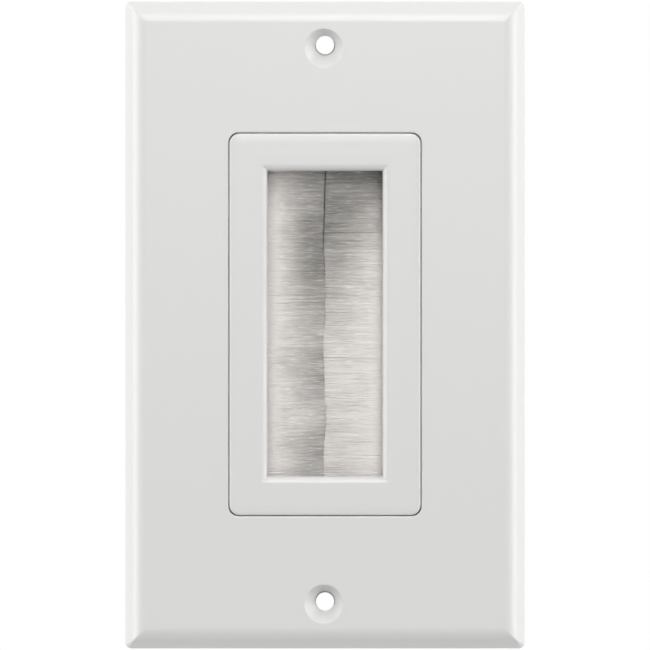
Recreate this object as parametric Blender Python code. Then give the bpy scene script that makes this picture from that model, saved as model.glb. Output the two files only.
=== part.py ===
"""Single-gang wall plate with a brush insert, for passing cables through a wall.

A moulded plate frames a moulded insert. Two strip brushes sit behind the insert's window, tip to tip,
and a retaining frame holds them in with four screws. Metres. X runs across the plate, Z up, and Y from
the room into the wall. The wall's surface is the plane y = 0, and the plate's centre is the origin.
"""

import math

import bmesh
import bpy
from mathutils import Matrix, Vector

# Clearances
seat_gap = 0.0003  # between pieces that rest on or in each other
crimp_gap = 0.00015  # round the filaments, where the channel pinches them

# Wall plate
plate_width = 0.06985
plate_height = 0.11305
plate_depth = 0.0063  # wall surface to the flat front
plate_corner_radius = 0.00115
plate_side_height = 0.0030  # upright edge, before the slope
plate_side_draft = 0.0001
slope_width = 0.0015  # steep outer slope
shoulder_width = 0.0022  # gentle curve from the slope into the flat front
shoulder_rise = 0.0009
plate_rim = 0.0019  # edge thickness at the wall
plate_wall = 0.0022  # thickness of the front
plate_rib_width = 0.0011
plate_rib_depth = 0.0014
side_rib_pitch = 0.0220
end_rib_offset = 0.0085

# Opening for the insert, and how far it sits above the plate's middle
opening_width = 0.0335
opening_end_margin = 0.023225  # in from the plate's end
opening_radius = 0.0018
opening_edge_radius = 0.00025
opening_rise = 0.00025
opening_collar = 0.0013

# Plate screw holes, which are 96.84 mm apart on every single-gang decorator plate
screw_hole_margin = 0.008105  # in from the plate's end
screw_hole_shift = -0.0002
countersink_radius = 0.00348
countersink_depth = 0.0014
countersink_lip = 0.00035
plate_hole_radius = 0.0022
plate_boss_radius = 0.0045

# Brush insert
insert_gap = 0.00025  # round the insert, in the plate's opening
insert_proud = 0.0002
insert_edge_radius = 0.0004
insert_crown_width = 0.0010
insert_crown_drop = 0.00006
insert_side_wall = 0.0018
insert_front_wall = 0.0024
insert_flange = 0.0018  # reach of the flange behind the plate, which closes the gap
insert_back = 0.0035  # how far the side walls reach behind the wall surface
frame_side = 0.00645  # insert's edge to the window, at each side
frame_end = 0.0064  # the same above and below
window_lip_radius = 0.0012
window_corner_radius = 0.0001
window_lip_corner = 0.15  # how much of the lip's width its corners gain in radius
window_collar = 0.0013
bristle_recess = 0.0063  # front of the insert to the bristles
channel_rest_width = 0.0012

# Mounting ears of the insert, with the box screws' slots 83.3 mm apart
ear_width = 0.0300
ear_end_margin = 0.00378  # plate screw hole to the ear's tip
box_slot_step = 0.00677  # plate screw hole to the box screw's slot
ear_thickness = 0.0016
ear_corner_radius = 0.0030
ear_hole_radius = 0.0016
box_slot_width = 0.0039
box_slot_length = 0.0066
gusset_thickness = 0.0012
gusset_size = 0.0013
gusset_spacing = 0.0200

# Strip brushes
bristle_thickness = 0.0026  # front of one layer to the back of the other
bristle_overhang = 0.0008  # above and below the window
root_thickness = 0.0006
tuft_pitch = 0.0013
tuft_slot = 0.00016
tuft_tip_share = 0.72
seam_gap = 0.0003
seam_offset = -0.0001
seam_wave = 0.00022
seam_wave_length = 0.0210
tuft_ripple = 0.00014
tuft_lean = 0.0006
core_wire_radius = 0.0005
channel_sheet = 0.0004
channel_bend_radius = 0.0008
channel_mouth_lead = 0.0005  # window edge to the channel's lips
channel_overhang = 0.0008  # past the bristles at each end

# Retaining frame and its screws
retainer_thickness = 0.0020
retainer_edge_bevel = 0.0004
retainer_window_margin = 0.0003
post_radius = 0.0021
screw_radius = 0.0009
screw_length = 0.0045
screw_tip_length = 0.0009
screw_head_radius = 0.0018
screw_head_height = 0.0014
screw_head_edge = 0.0004
recess_width = 0.0005
recess_span = 0.0020
recess_depth = 0.0006

# Smoothness
corner_steps = 6
curve_steps = 6
round_segments = 32
overshoot = 0.0010  # how far a cutter runs past what it cuts

# Sizes and places that follow
opening_height = plate_height - 2 * opening_end_margin
screw_hole_spacing = plate_height - 2 * screw_hole_margin
box_screw_spacing = screw_hole_spacing - 2 * box_slot_step
ear_length = screw_hole_spacing + 2 * ear_end_margin
plate_front = -plate_depth
plate_inside = plate_front + plate_wall
insert_front = plate_front - insert_proud
insert_inside = insert_front + insert_front_wall
insert_half_width = opening_width / 2 - insert_gap
insert_half_height = opening_height / 2 - insert_gap
insert_radius = opening_radius - insert_gap
window_width = 2 * (insert_half_width - frame_side)
window_height = 2 * (insert_half_height - frame_end)
ear_front = -ear_thickness
bristle_front = insert_front + bristle_recess
bristle_middle = bristle_front + bristle_thickness / 2
bristle_back = bristle_front + bristle_thickness
loop_inner_radius = core_wire_radius + crimp_gap
loop_radius = loop_inner_radius + root_thickness
channel_half_depth = loop_radius + crimp_gap + channel_sheet
channel_front = bristle_middle - channel_half_depth
channel_back = bristle_middle + channel_half_depth
channel_rest = channel_front - seat_gap
channel_mouth = window_width / 2 + channel_mouth_lead
channel_web = insert_half_width - insert_side_wall - seat_gap
wire_place = channel_web - channel_sheet - crimp_gap - loop_radius
bristle_half_height = window_height / 2 + bristle_overhang
channel_half_length = bristle_half_height + channel_overhang
post_x = (channel_mouth + channel_web) / 2
post_z = channel_half_length + seat_gap + post_radius
retainer_front = insert_back + seat_gap
retainer_back = retainer_front + retainer_thickness
screw_head_seat = retainer_back + seat_gap


def clear_scene():
    for item in list(bpy.data.objects):
        bpy.data.objects.remove(item, do_unlink=True)


def make_material(name, colour, roughness, metallic=0.0):
    material = bpy.data.materials.new(name)
    material.use_nodes = True
    shader = material.node_tree.nodes["Principled BSDF"]
    shader.inputs["Base Color"].default_value = (*colour, 1.0)
    shader.inputs["Roughness"].default_value = roughness
    shader.inputs["Metallic"].default_value = metallic
    material.diffuse_color = (*colour, 1.0)
    return material


def make_object(name, bm, material=None, parent=None):
    """Turns a bmesh into an object, smooth except at its real edges."""
    bmesh.ops.recalc_face_normals(bm, faces=bm.faces)
    mesh = bpy.data.meshes.new(name)
    bm.to_mesh(mesh)
    bm.free()
    mesh.shade_smooth()
    mesh.set_sharp_from_angle(angle=math.radians(35))
    if material is not None:
        mesh.materials.append(material)
    item = bpy.data.objects.new(name, mesh)
    item.parent = parent
    bpy.context.collection.objects.link(item)
    return item


def combine(target, tool, operation):
    """Joins, or cuts, a tool shape with an exact Boolean, and hides the tool."""
    tool.hide_render = True
    tool.display_type = "WIRE"
    modifier = target.modifiers.new(tool.name, "BOOLEAN")
    modifier.operation = operation
    modifier.solver = "EXACT"
    modifier.object = tool


def close_loop(bm, verts):
    count = len(verts)
    return [bm.edges.new((verts[i], verts[(i + 1) % count])) for i in range(count)]


def rounded_rectangle(bm, half_width, half_height, radius, y, x=0.0, z=0.0):
    """A closed loop of edges in the plane y, with arcs at its corners."""
    verts = []
    for quarter in range(4):
        start = quarter * math.pi / 2
        side_x = 1 if quarter in (0, 3) else -1
        side_z = 1 if quarter in (0, 1) else -1
        for step in range(corner_steps + 1):
            angle = start + step * math.pi / 2 / corner_steps
            verts.append(
                bm.verts.new(
                    (
                        x + side_x * (half_width - radius) + radius * math.cos(angle),
                        y,
                        z + side_z * (half_height - radius) + radius * math.sin(angle),
                    )
                )
            )
    return close_loop(bm, verts)


def circle(bm, radius, y, x=0.0, z=0.0, segments=round_segments):
    turns = [2 * math.pi * i / segments for i in range(segments)]
    return close_loop(
        bm, [bm.verts.new((x + radius * math.cos(a), y, z + radius * math.sin(a))) for a in turns]
    )


def loft(bm, loops):
    """Skins a stack of loops and caps both ends, which makes one closed body."""
    for lower, upper in zip(loops, loops[1:]):
        bmesh.ops.bridge_loops(bm, edges=lower + upper)
    for end in (loops[0], loops[-1]):
        bmesh.ops.contextual_create(bm, geom=end)


def block(bm, low, high):
    """A plain bar between two corners."""
    low = Vector(low)
    high = Vector(high)
    size = high - low
    place = Matrix.Translation((low + high) / 2) @ Matrix.Diagonal((*size, 1.0))
    bmesh.ops.create_cube(bm, size=1.0, matrix=place)


def inset_radius(inset):
    """The plate's corner radius after its outline has moved in."""
    return max(plate_corner_radius - inset, plate_corner_radius * 0.2)


def plate_loop(bm, inset, y):
    return rounded_rectangle(
        bm, plate_width / 2 - inset, plate_height / 2 - inset, inset_radius(inset), y
    )


def plate_shell_body():
    """The plate's outside: upright edge, steep slope, then a shoulder that curves into the front."""
    bm = bmesh.new()
    loops = [
        plate_loop(bm, 0.0, 0.0),
        plate_loop(bm, plate_side_draft, -plate_side_height),
        plate_loop(bm, plate_side_draft + slope_width, plate_front + shoulder_rise),
    ]
    for step in range(1, curve_steps + 1):
        share = step / curve_steps
        inset = plate_side_draft + slope_width + shoulder_width * share
        loops.append(plate_loop(bm, inset, plate_front + shoulder_rise * (1 - share) ** 2))
    loft(bm, loops)
    return bm


def plate_hollow():
    """The space behind the plate's front, narrower at its floor than at the wall."""
    bevel_inset = plate_side_draft + slope_width + shoulder_width
    bm = bmesh.new()
    loft(
        bm,
        [
            plate_loop(bm, plate_rim, overshoot),
            plate_loop(bm, plate_rim, -plate_side_height * 0.8),
            plate_loop(bm, plate_rim + bevel_inset * 0.6, plate_inside),
        ],
    )
    return bm


def opening_collar_ring():
    """A wall round the opening, on the back of the front."""
    bm = bmesh.new()
    half_width = opening_width / 2 + opening_collar
    half_height = opening_height / 2 + opening_collar
    radius = opening_radius + opening_collar
    loft(
        bm,
        [
            rounded_rectangle(
                bm, half_width, half_height, radius, plate_inside - plate_wall / 2, z=opening_rise
            ),
            rounded_rectangle(bm, half_width, half_height, radius, ear_front - seat_gap, z=opening_rise),
        ],
    )
    return bm


def plate_bosses():
    """Pads behind the two screw holes, which stop on the insert's ears."""
    bm = bmesh.new()
    for side in (-1, 1):
        z = side * screw_hole_spacing / 2
        loft(
            bm,
            [
                circle(bm, plate_boss_radius, plate_inside - plate_wall / 2, screw_hole_shift, z),
                circle(bm, plate_boss_radius, ear_front - seat_gap, screw_hole_shift, z),
            ],
        )
    return bm


def plate_ribs():
    """Ribs from the opening's collar out to the edge."""
    rib_front = plate_inside - plate_wall / 2
    rib_back = plate_inside + plate_rib_depth
    inner_x = opening_width / 2 + opening_collar / 2
    inner_z = opening_height / 2 + opening_collar / 2
    outer_x = plate_width / 2 - plate_rim
    outer_z = plate_height / 2 - plate_rim
    half = plate_rib_width / 2
    bm = bmesh.new()
    for side in (-1, 1):
        for row in (-1, 0, 1):
            z = opening_rise + row * side_rib_pitch
            ends = sorted((side * inner_x, side * outer_x))
            block(bm, (ends[0], rib_front, z - half), (ends[1], rib_back, z + half))
        for x in (-end_rib_offset, end_rib_offset):
            ends = sorted((opening_rise + side * inner_z, side * outer_z))
            block(bm, (x - half, rib_front, ends[0]), (x + half, rib_back, ends[1]))
    return bm


def flared_opening(half_width, half_height, radius, edge_radius, front, back, z=0.0, flare=1.0):
    """A cutter for a rounded opening whose front edge is rounded over. With a small flare the rounding
    keeps sharp corners."""
    bm = bmesh.new()
    loops = [
        rounded_rectangle(
            bm,
            half_width + edge_radius,
            half_height + edge_radius,
            radius + edge_radius * flare,
            front - overshoot,
            z=z,
        )
    ]
    for step in range(curve_steps + 1):
        angle = step * math.pi / 2 / curve_steps
        grow = edge_radius * (1 - math.sin(angle))
        y = front + edge_radius * (1 - math.cos(angle))
        loops.append(
            rounded_rectangle(bm, half_width + grow, half_height + grow, radius + grow * flare, y, z=z)
        )
    loops.append(rounded_rectangle(bm, half_width, half_height, radius, back, z=z))
    loft(bm, loops)
    return bm


def countersinks():
    """Cutters for the two screw holes: rounded lip, cone, then the plain hole."""
    bm = bmesh.new()
    for side in (-1, 1):
        z = side * screw_hole_spacing / 2
        loops = [circle(bm, countersink_radius, plate_front - overshoot, screw_hole_shift, z)]
        for step in range(curve_steps + 1):
            share = step / curve_steps
            radius = countersink_radius - countersink_lip * share
            y = plate_front + countersink_lip * share**2
            loops.append(circle(bm, radius, y, screw_hole_shift, z))
        loops.append(
            circle(bm, plate_hole_radius, plate_front + countersink_depth, screw_hole_shift, z)
        )
        loops.append(circle(bm, plate_hole_radius, overshoot, screw_hole_shift, z))
        loft(bm, loops)
    return bm


def make_wall_plate(material):
    plate = make_object("wall_plate", plate_shell_body(), material)
    combine(plate, make_object("cut_plate_hollow", plate_hollow()), "DIFFERENCE")
    combine(plate, make_object("add_opening_collar", opening_collar_ring()), "UNION")
    combine(plate, make_object("add_plate_bosses", plate_bosses()), "UNION")
    combine(plate, make_object("add_plate_ribs", plate_ribs()), "UNION")
    opening = flared_opening(
        opening_width / 2,
        opening_height / 2,
        opening_radius,
        opening_edge_radius,
        plate_front,
        overshoot,
        opening_rise,
    )
    combine(plate, make_object("cut_opening", opening), "DIFFERENCE")
    combine(plate, make_object("cut_countersinks", countersinks()), "DIFFERENCE")
    return plate


def insert_loop(bm, inset, y):
    radius = max(insert_radius - inset, insert_radius * 0.2)
    return rounded_rectangle(bm, insert_half_width - inset, insert_half_height - inset, radius, y)


def insert_body():
    """The insert's outside, with a rounded edge and a very slight crown at the front."""
    bm = bmesh.new()
    loops = [insert_loop(bm, 0.0, insert_back)]
    edge_front = insert_front + insert_crown_drop
    for step in range(curve_steps + 1):
        angle = step * math.pi / 2 / curve_steps
        inset = insert_edge_radius * (1 - math.cos(angle))
        y = edge_front + insert_edge_radius * (1 - math.sin(angle))
        loops.append(insert_loop(bm, inset, y))
    loops.append(insert_loop(bm, insert_edge_radius + insert_crown_width, insert_front))
    loft(bm, loops)
    return bm


def insert_hollow():
    half_width = insert_half_width - insert_side_wall
    half_height = insert_half_height - insert_side_wall
    radius = insert_radius * 0.5
    bm = bmesh.new()
    loft(
        bm,
        [
            rounded_rectangle(bm, half_width, half_height, radius, insert_back + overshoot),
            rounded_rectangle(bm, half_width, half_height, radius, insert_inside),
        ],
    )
    return bm


def window_collar_ring():
    """A wall round the window, behind the front, whose back edge the channels rest on."""
    bm = bmesh.new()
    half_width = window_width / 2 + window_collar
    half_height = window_height / 2 + window_collar
    front = insert_inside - insert_front_wall / 2
    loft(
        bm,
        [
            rounded_rectangle(bm, half_width, half_height, window_collar, front),
            rounded_rectangle(bm, half_width, half_height, window_collar, channel_rest),
        ],
    )
    return bm


def channel_rests():
    """A rib beside each long side of the window, the channels' second rest."""
    bm = bmesh.new()
    middle = channel_web - channel_rest_width
    for side in (-1, 1):
        block(
            bm,
            (
                side * middle - channel_rest_width / 2,
                insert_inside - insert_front_wall / 2,
                -bristle_half_height,
            ),
            (side * middle + channel_rest_width / 2, channel_rest, bristle_half_height),
        )
    return bm


def screw_posts():
    """Posts for the retaining frame's screws, moulded into the insert's corners."""
    bm = bmesh.new()
    for side_x in (-1, 1):
        for side_z in (-1, 1):
            x = side_x * post_x
            z = side_z * post_z
            front = circle(bm, post_radius, insert_inside - insert_front_wall / 2, x, z)
            back = circle(bm, post_radius, insert_back, x, z)
            loft(bm, [front, back])
    return bm


def insert_flange_plate():
    """The flange round the insert, which hides the wall behind the gap in the plate."""
    bm = bmesh.new()
    half_width = insert_half_width + insert_flange
    half_height = insert_half_height + insert_flange
    radius = insert_radius + insert_flange
    loft(
        bm,
        [
            rounded_rectangle(bm, half_width, half_height, radius, ear_front),
            rounded_rectangle(bm, half_width, half_height, radius, 0.0),
        ],
    )
    return bm


def mounting_ears():
    """The flat strap that lies on the wall, with the ears above and below the insert."""
    bm = bmesh.new()
    loft(
        bm,
        [
            rounded_rectangle(bm, ear_width / 2, ear_length / 2, ear_corner_radius, ear_front),
            rounded_rectangle(bm, ear_width / 2, ear_length / 2, ear_corner_radius, 0.0),
        ],
    )
    return bm


def ear_gussets():
    """Small corner webs between the ears' backs and the insert's end walls."""
    bm = bmesh.new()
    for side in (-1, 1):
        root = side * (insert_half_height - insert_side_wall / 2)
        tip = side * (insert_half_height + gusset_size)
        for x in (-gusset_spacing / 2, gusset_spacing / 2):
            corners = [(root, -ear_thickness / 2), (tip, -ear_thickness / 2), (tip, 0.0), (root, insert_back)]
            left = close_loop(bm, [bm.verts.new((x - gusset_thickness / 2, y, z)) for z, y in corners])
            right = close_loop(bm, [bm.verts.new((x + gusset_thickness / 2, y, z)) for z, y in corners])
            loft(bm, [left, right])
    return bm


def ear_holes():
    """Cutters for the plate screws' holes and the box screws' slots."""
    bm = bmesh.new()
    for side in (-1, 1):
        z = side * screw_hole_spacing / 2
        front = circle(bm, ear_hole_radius, ear_front - overshoot, 0.0, z)
        back = circle(bm, ear_hole_radius, overshoot, 0.0, z)
        loft(bm, [front, back])
        z = side * box_screw_spacing / 2
        slot = (box_slot_length / 2, box_slot_width / 2, box_slot_width * 0.49)
        front = rounded_rectangle(bm, *slot, ear_front - overshoot, z=z)
        back = rounded_rectangle(bm, *slot, overshoot, z=z)
        loft(bm, [front, back])
    return bm


def pilot_holes():
    bm = bmesh.new()
    depth = screw_head_seat - screw_length - seat_gap
    for side_x in (-1, 1):
        for side_z in (-1, 1):
            x = side_x * post_x
            z = side_z * post_z
            front = circle(bm, screw_radius + seat_gap, depth, x, z, round_segments // 2)
            back = circle(bm, screw_radius + seat_gap, insert_back + overshoot, x, z, round_segments // 2)
            loft(bm, [front, back])
    return bm


def make_brush_insert(material, parent):
    insert = make_object("brush_insert", insert_body(), material, parent)
    combine(insert, make_object("add_flange", insert_flange_plate(), parent=parent), "UNION")
    combine(insert, make_object("add_ears", mounting_ears(), parent=parent), "UNION")
    combine(insert, make_object("cut_insert_hollow", insert_hollow(), parent=parent), "DIFFERENCE")
    combine(insert, make_object("add_window_collar", window_collar_ring(), parent=parent), "UNION")
    combine(insert, make_object("add_channel_rests", channel_rests(), parent=parent), "UNION")
    combine(insert, make_object("add_screw_posts", screw_posts(), parent=parent), "UNION")
    combine(insert, make_object("add_ear_gussets", ear_gussets(), parent=parent), "UNION")
    window = flared_opening(
        window_width / 2,
        window_height / 2,
        window_corner_radius,
        window_lip_radius,
        insert_front,
        insert_back + overshoot,
        flare=window_lip_corner,
    )
    combine(insert, make_object("cut_window", window, parent=parent), "DIFFERENCE")
    combine(insert, make_object("cut_ear_holes", ear_holes(), parent=parent), "DIFFERENCE")
    combine(insert, make_object("cut_pilot_holes", pilot_holes(), parent=parent), "DIFFERENCE")
    return insert


def make_brush_channel(name, side, material, parent):
    """A strip of sheet folded into a U round the filaments, its lips pinched towards their middle."""
    sheet_middle = channel_half_depth - channel_sheet / 2
    lip_half = root_thickness + crimp_gap + channel_sheet / 2
    web_x = channel_web - channel_sheet / 2
    profile = [(channel_mouth, -lip_half), (wire_place, -sheet_middle)]
    for step in range(curve_steps + 1):
        angle = -math.pi / 2 + step * math.pi / 2 / curve_steps
        profile.append(
            (
                web_x - channel_bend_radius * (1 - math.cos(angle)),
                -sheet_middle + channel_bend_radius * (1 + math.sin(angle)),
            )
        )
    profile += [(x, -y) for x, y in reversed(profile)]
    bm = bmesh.new()
    verts = [
        bm.verts.new((side * x, bristle_middle + y, -channel_half_length)) for x, y in profile
    ]
    edges = [bm.edges.new(pair) for pair in zip(verts, verts[1:])]
    made = bmesh.ops.extrude_edge_only(bm, edges=edges)["geom"]
    raised = [item for item in made if isinstance(item, bmesh.types.BMVert)]
    bmesh.ops.translate(bm, verts=raised, vec=(0, 0, 2 * channel_half_length))
    channel = make_object(name, bm, material, parent)
    fold = channel.modifiers.new("sheet", "SOLIDIFY")
    fold.thickness = channel_sheet
    fold.offset = 0.0
    fold.use_even_offset = True
    return channel


def make_core_wire(name, side, material, parent):
    """The wire that the filaments are folded over."""
    bm = bmesh.new()
    place = Matrix.Translation((side * wire_place, bristle_middle, 0.0))
    bmesh.ops.create_cone(
        bm,
        cap_ends=True,
        segments=round_segments // 2,
        radius1=core_wire_radius,
        radius2=core_wire_radius,
        depth=2 * channel_half_length,
        matrix=place,
    )
    return make_object(name, bm, material, parent)


def seam_at(z):
    """Where the two brushes' tips meet, wandering a little down the window."""
    turn = 2 * math.pi * z / seam_wave_length
    return seam_offset + seam_wave * (0.7 * math.sin(turn) + 0.3 * math.sin(2.3 * turn + 1.0))


def tuft_layer(bm, faces, side, layer):
    """One layer of the folded filaments, in tufts that run from the channel to the seam."""
    pitch = 2 * bristle_half_height / len(faces)
    root_y = root_thickness / 2
    full_y = bristle_thickness / 2 - tuft_half_depth()
    for index, face in enumerate(sorted(faces, key=lambda f: f.calc_center_median().z)):
        z = face.calc_center_median().z
        phase = 2.4 * index + 1.3 * layer + 0.9 * side
        ripple = tuft_ripple * math.sin(phase)
        tip = side * (seam_at(z) * side + seam_gap / 2 + tuft_ripple + ripple)
        lean = tuft_lean * math.sin(2 * math.pi * z / (2 * bristle_half_height) + side)
        bmesh.ops.inset_individual(bm, faces=[face], thickness=tuft_slot / 2)
        root = Vector((side * channel_mouth, bristle_middle + layer * root_y, z))
        for share, wide in ((0.22, 1.0), (0.6, 0.97), (1.0, tuft_tip_share)):
            face = bmesh.ops.extrude_discrete_faces(bm, faces=[face])["faces"][0]
            spread = min(share / 0.22, 1.0)
            centre = Vector(
                (
                    root.x + (tip - root.x) * share,
                    bristle_middle + layer * (root_y + (full_y - root_y) * spread),
                    z + lean * share**2,
                )
            )
            half_y = tuft_half_depth() * wide
            half_z = (pitch - tuft_slot) / 2 * wide
            middle = face.calc_center_median()
            for vert in face.verts:
                vert.co = Vector(
                    (
                        centre.x,
                        centre.y + math.copysign(half_y, vert.co.y - middle.y),
                        centre.z + math.copysign(half_z, vert.co.z - middle.z),
                    )
                )


def tuft_half_depth():
    return (bristle_thickness - tuft_slot) / 4


def bristle_solid(side):
    """Filaments doubled over the wire: a rounded root in the channel, then two layers of tufts."""
    count = max(2, round(2 * bristle_half_height / tuft_pitch))
    bm = bmesh.new()
    turn = Matrix.Rotation(-side * math.pi / 2, 4, "Y")
    stretch = Matrix.Diagonal((2 * bristle_half_height, 2 * root_thickness, 1.0, 1.0))
    place = Matrix.Translation((side * channel_mouth, bristle_middle, 0.0))
    bmesh.ops.create_grid(
        bm, x_segments=count, y_segments=2, size=0.5, matrix=place @ turn @ stretch
    )
    cells = {-1: [], 1: []}
    for face in bm.faces:
        cells[-1 if face.calc_center_median().y < bristle_middle else 1].append(face)
    edges = [edge for edge in bm.edges if edge.is_boundary]
    neck_end = wire_place - loop_radius
    steps = [(neck_end + loop_radius * 0.25, root_thickness)]
    for step in range(1, curve_steps + 1):
        angle = math.pi * (0.28 + 0.64 * step / curve_steps)
        steps.append((wire_place - loop_radius * math.cos(angle), loop_radius * math.sin(angle)))
    for x, half_depth in steps:
        made = bmesh.ops.extrude_edge_only(bm, edges=edges)["geom"]
        verts = [item for item in made if isinstance(item, bmesh.types.BMVert)]
        edges = [item for item in made if isinstance(item, bmesh.types.BMEdge) and item.is_boundary]
        for vert in verts:
            offset = vert.co.y - bristle_middle
            vert.co.x = side * x
            if abs(offset) > 1e-6:
                vert.co.y = bristle_middle + math.copysign(half_depth, offset)
    bmesh.ops.contextual_create(bm, geom=edges)
    for layer in (-1, 1):
        tuft_layer(bm, cells[layer], side, layer)
    return bm


def wire_hole(side):
    bm = bmesh.new()
    place = Matrix.Translation((side * wire_place, bristle_middle, 0.0))
    bmesh.ops.create_cone(
        bm,
        cap_ends=True,
        segments=round_segments // 2,
        radius1=loop_inner_radius,
        radius2=loop_inner_radius,
        depth=2 * (bristle_half_height + overshoot),
        matrix=place,
    )
    return bm


def make_bristles(name, side, material, parent):
    bristles = make_object(name, bristle_solid(side), material, parent)
    combine(bristles, make_object("cut_" + name, wire_hole(side), parent=parent), "DIFFERENCE")
    return bristles


def make_retainer(material, parent):
    """The frame behind the insert: a flat frame, with a pad that closes each channel's pocket."""
    bm = bmesh.new()
    bevel = retainer_edge_bevel
    loft(
        bm,
        [
            insert_loop(bm, 0.0, retainer_front),
            insert_loop(bm, 0.0, retainer_back - bevel),
            insert_loop(bm, bevel, retainer_back),
        ],
    )
    retainer = make_object("rear_retainer", bm, material, parent)
    pads = bmesh.new()
    pad_half = channel_half_length
    for side in (-1, 1):
        ends = sorted((side * (channel_mouth + seat_gap), side * (channel_web - seat_gap)))
        block(
            pads,
            (ends[0], channel_back + seat_gap, -pad_half),
            (ends[1], retainer_front + retainer_thickness / 2, pad_half),
        )
    combine(retainer, make_object("add_retainer_pads", pads, parent=parent), "UNION")
    cut = bmesh.new()
    half_width = window_width / 2 + retainer_window_margin
    half_height = window_height / 2 + retainer_window_margin
    low = channel_back - overshoot
    loft(
        cut,
        [
            rounded_rectangle(cut, half_width, half_height, insert_radius, low),
            rounded_rectangle(cut, half_width, half_height, insert_radius, retainer_back - bevel),
            rounded_rectangle(
                cut,
                half_width + bevel + overshoot,
                half_height + bevel + overshoot,
                insert_radius + bevel + overshoot,
                retainer_back + overshoot,
            ),
        ],
    )
    for side_x in (-1, 1):
        for side_z in (-1, 1):
            x = side_x * post_x
            z = side_z * post_z
            front = circle(cut, screw_radius + seat_gap, low, x, z, round_segments // 2)
            back = circle(
                cut, screw_radius + seat_gap, retainer_back + overshoot, x, z, round_segments // 2
            )
            loft(cut, [front, back])
    combine(retainer, make_object("cut_retainer", cut, parent=parent), "DIFFERENCE")
    return retainer


def screw_profile():
    """Half the screw's outline, from its tip to the middle of its head: (radius, y)."""
    tip = screw_head_seat - screw_length
    outline = [
        (screw_radius * 0.3, tip),
        (screw_radius, tip + screw_tip_length),
        (screw_radius, screw_head_seat),
        (screw_head_radius, screw_head_seat),
        (screw_head_radius, screw_head_seat + screw_head_height - screw_head_edge),
    ]
    for step in range(1, curve_steps + 1):
        angle = step * math.pi / 2 / curve_steps
        outline.append(
            (
                screw_head_radius - screw_head_edge * (1 - math.cos(angle)),
                screw_head_seat + screw_head_height - screw_head_edge * (1 - math.sin(angle)),
            )
        )
    return outline


def make_retainer_screw(name, x, z, material, parent):
    """A small pan-head screw, turned round its axis, with a cross recess."""
    bm = bmesh.new()
    verts = [bm.verts.new((radius, y, 0.0)) for radius, y in screw_profile()]
    edges = [bm.edges.new(pair) for pair in zip(verts, verts[1:])]
    bmesh.ops.spin(
        bm,
        geom=verts + edges,
        axis=(0.0, 1.0, 0.0),
        angle=2 * math.pi,
        steps=round_segments // 2,
        use_merge=True,
    )
    bmesh.ops.holes_fill(bm, edges=bm.edges)
    screw = make_object(name, bm, material, parent)
    screw.location = (x, 0.0, z)
    recess = bmesh.new()
    top = screw_head_seat + screw_head_height
    half = recess_width / 2
    reach = recess_span / 2
    outline = [
        (half, half), (half, reach), (-half, reach), (-half, half), (-reach, half), (-reach, -half),
        (-half, -half), (-half, -reach), (half, -reach), (half, -half), (reach, -half), (reach, half),
    ]
    floor = close_loop(recess, [recess.verts.new((u, top - recess_depth, v)) for u, v in outline])
    mouth = close_loop(recess, [recess.verts.new((u, top + overshoot, v)) for u, v in outline])
    loft(recess, [floor, mouth])
    cutter = make_object("cut_" + name, recess, parent=parent)
    cutter.location = screw.location
    combine(screw, cutter, "DIFFERENCE")
    return screw


def build():
    clear_scene()
    plastic = make_material("white_abs", (0.74, 0.73, 0.72), 0.28)
    inner_plastic = make_material("inner_abs", (0.68, 0.67, 0.66), 0.45)
    sheet_metal = make_material("galvanised_sheet", (0.56, 0.57, 0.58), 0.38, 1.0)
    wire = make_material("steel_wire", (0.50, 0.50, 0.50), 0.35, 1.0)
    nylon = make_material("clear_nylon_filament", (0.62, 0.60, 0.57), 0.32)
    zinc = make_material("zinc_plated_screw", (0.62, 0.62, 0.60), 0.30, 1.0)

    make_wall_plate(plastic)
    insert_frame = bpy.data.objects.new("insert_frame", None)
    insert_frame.location = (0.0, 0.0, opening_rise)
    bpy.context.collection.objects.link(insert_frame)
    make_brush_insert(plastic, insert_frame)
    for name, side in (("left", -1), ("right", 1)):
        make_brush_channel(name + "_brush_channel", side, sheet_metal, insert_frame)
        make_core_wire(name + "_core_wire", side, wire, insert_frame)
        make_bristles(name + "_bristles", side, nylon, insert_frame)
    make_retainer(inner_plastic, insert_frame)
    for name, side_x in (("left", -1), ("right", 1)):
        for level, side_z in (("lower", -1), ("upper", 1)):
            make_retainer_screw(
                f"{level}_{name}_retainer_screw",
                side_x * post_x,
                side_z * post_z,
                zinc,
                insert_frame,
            )


build()
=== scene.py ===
import math
import random

import bmesh
import bpy
from mathutils import Matrix, Vector, noise


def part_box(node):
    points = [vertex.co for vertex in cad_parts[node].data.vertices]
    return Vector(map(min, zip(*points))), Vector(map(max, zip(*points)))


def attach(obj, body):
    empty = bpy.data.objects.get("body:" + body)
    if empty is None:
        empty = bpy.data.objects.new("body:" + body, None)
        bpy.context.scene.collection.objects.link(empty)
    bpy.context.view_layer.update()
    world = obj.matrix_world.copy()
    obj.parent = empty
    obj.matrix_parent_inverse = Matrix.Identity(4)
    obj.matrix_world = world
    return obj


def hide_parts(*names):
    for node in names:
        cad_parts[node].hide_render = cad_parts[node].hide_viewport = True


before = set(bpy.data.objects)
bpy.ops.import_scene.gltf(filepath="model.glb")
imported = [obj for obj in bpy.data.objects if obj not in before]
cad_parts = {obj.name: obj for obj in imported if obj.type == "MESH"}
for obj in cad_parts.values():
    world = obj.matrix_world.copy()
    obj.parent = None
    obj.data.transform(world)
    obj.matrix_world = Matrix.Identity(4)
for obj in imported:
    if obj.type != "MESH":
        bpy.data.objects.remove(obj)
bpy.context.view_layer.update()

# Brush insert: the moulding that fills the plate's opening, with the window that the cables go through.
# White ABS, injection moulded in one piece with its flange, ears, inner walls and screw posts. It is
# screwed to the wall box first, and the plate goes over it.
mm = 0.001
insert_low, insert_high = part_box("brush_insert")
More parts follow.
